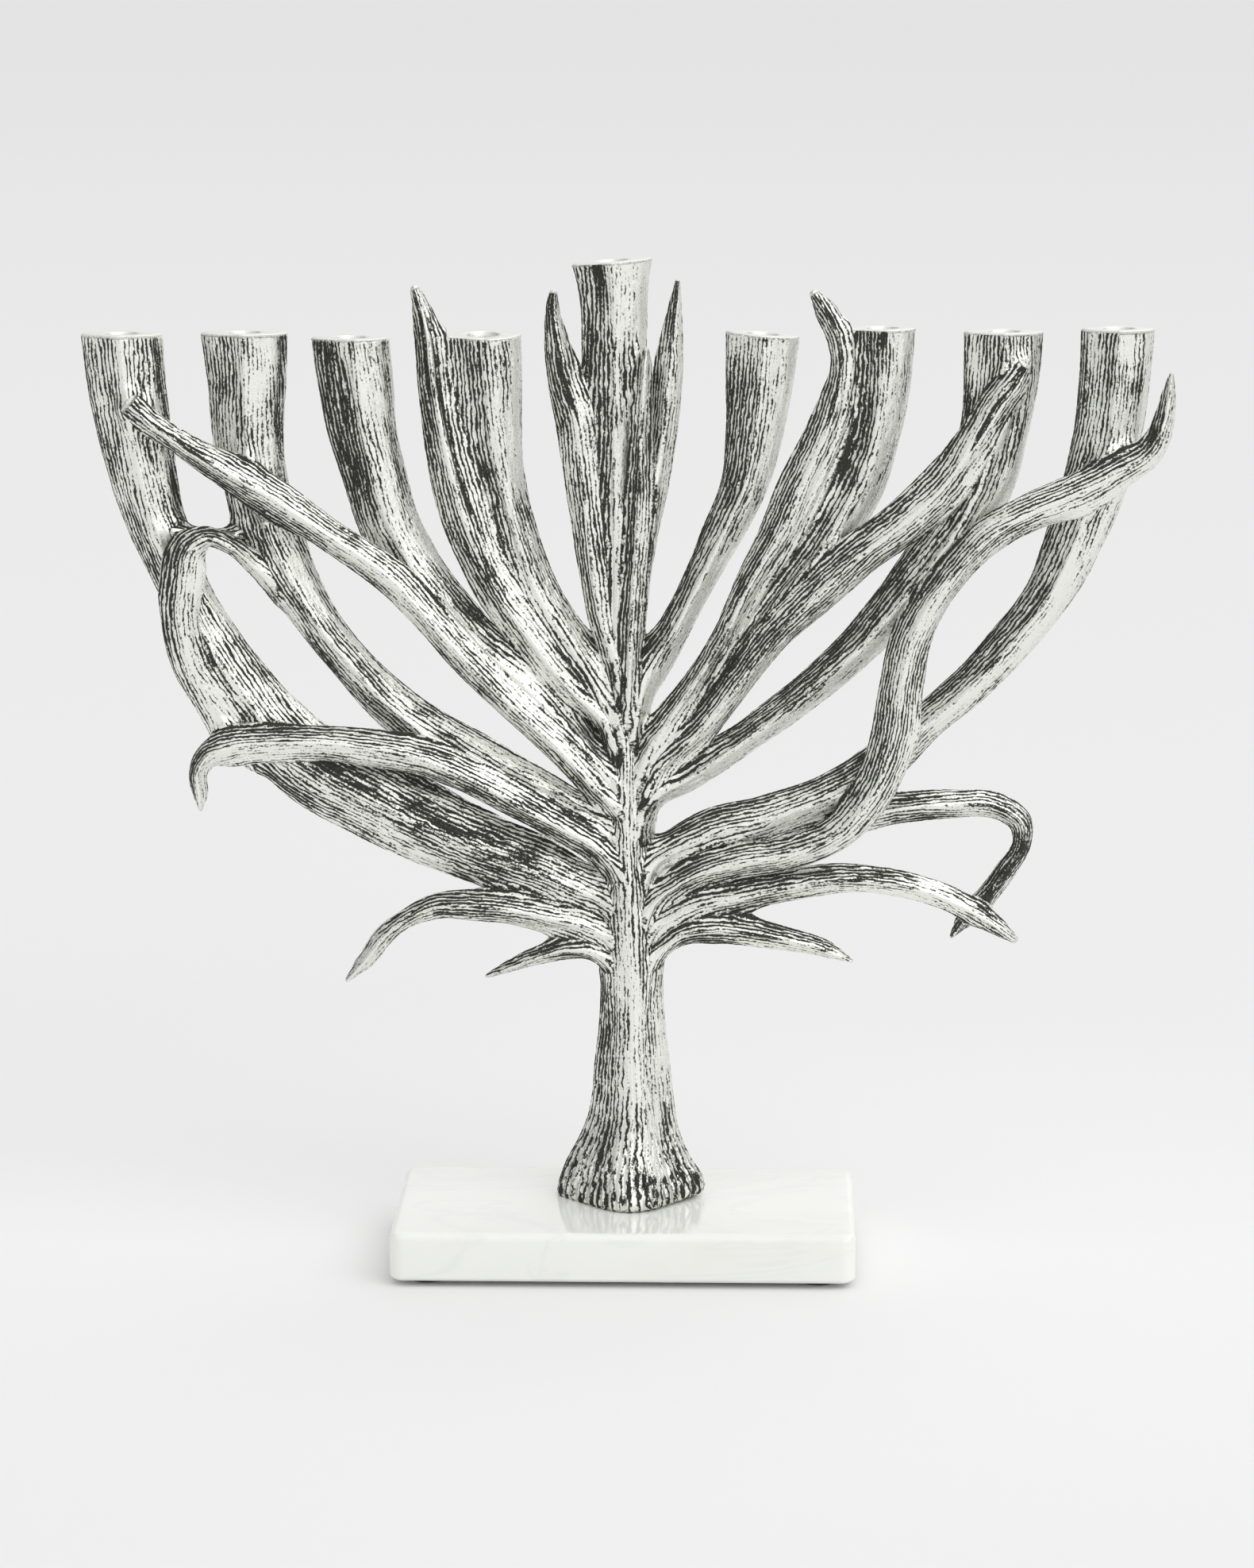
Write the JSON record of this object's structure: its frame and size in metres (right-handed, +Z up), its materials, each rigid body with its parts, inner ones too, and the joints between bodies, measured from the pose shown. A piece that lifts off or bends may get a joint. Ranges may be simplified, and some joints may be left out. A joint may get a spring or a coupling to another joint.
{
  "type": "menorah",
  "caption": "Menorah shaped as a leafy cast metal tree, with candle holes in the flat rims of its curved arms, bolted to a marble slab.",
  "frame": {"origin": "centre of the slab's outline, on the surface that the four rubber pads stand on", "axes": "+Z up, +X to the right when the menorah is seen from its front, the front faces -Y"},
  "size_m": [0.3554, 0.089, 0.3316],
  "materials": {
    "cast_metal": "satin",
    "marble": "polished",
    "pad_rubber": "matte",
    "bolt_steel": "satin"
  },
  "bodies": {
    "root": {"marble_slab": "marble", "base_pad_front_left": "pad_rubber", "base_pad_front_right": "pad_rubber", "base_pad_back_left": "pad_rubber", "base_pad_back_right": "pad_rubber", "base_washer": "bolt_steel", "base_bolt": "bolt_steel", "trunk": "cast_metal", "shamash_arm": "cast_metal", "candle_arm_4": "cast_metal", "candle_arm_5": "cast_metal", "candle_arm_3": "cast_metal", "candle_arm_6": "cast_metal", "candle_arm_2": "cast_metal", "candle_arm_7": "cast_metal", "candle_arm_1": "cast_metal", "candle_arm_8": "cast_metal", "leaf_shamash_left": "cast_metal", "leaf_shamash_right": "cast_metal", "leaf_shamash_front": "cast_metal", "leaf_left_upright": "cast_metal", "leaf_right_twisted": "cast_metal", "leaf_left_crossing": "cast_metal", "leaf_right_inner": "cast_metal", "leaf_right_crossing": "cast_metal", "leaf_left_sweeping": "cast_metal", "leaf_left_curled": "cast_metal", "leaf_right_folded": "cast_metal", "leaf_right_drooping": "cast_metal", "leaf_right_lowest": "cast_metal", "leaf_left_drooping": "cast_metal", "leaf_left_lowest": "cast_metal"}
  },
  "joints": []
}
